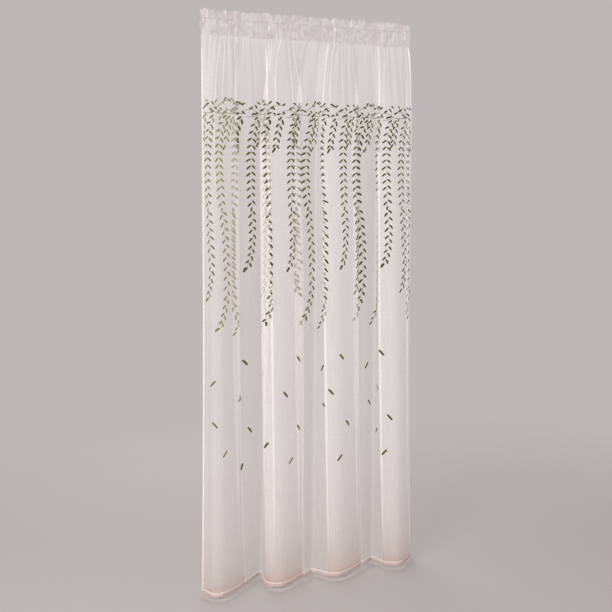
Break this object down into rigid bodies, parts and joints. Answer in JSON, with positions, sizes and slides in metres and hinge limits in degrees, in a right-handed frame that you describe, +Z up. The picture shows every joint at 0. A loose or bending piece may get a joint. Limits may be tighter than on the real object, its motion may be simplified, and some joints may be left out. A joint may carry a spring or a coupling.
{
  "type": "sheer voile curtain",
  "caption": "Sheer voile curtain with a gathered rod-pocket heading and small ruffle, hanging in large uneven folds to a narrow hem, embroidered with slim leaf strands.",
  "frame": {"origin": "on the line of the rod inside the pocket, at the middle of the width", "axes": "+Z up, X along the rod, -Y towards the room, the front of the curtain"},
  "size_m": [0.9207, 0.1618, 2.1307],
  "materials": {
    "gathered_voile": "gathered sheer voile, soft matt white",
    "voile": "sheer voile, soft matt white with a faint warm grey cast",
    "leaf_embroidery": "satin-stitched olive green thread with a slight sheen"
  },
  "bodies": {
    "root": {"heading": "gathered_voile", "panel": "voile"}
  },
  "joints": []
}
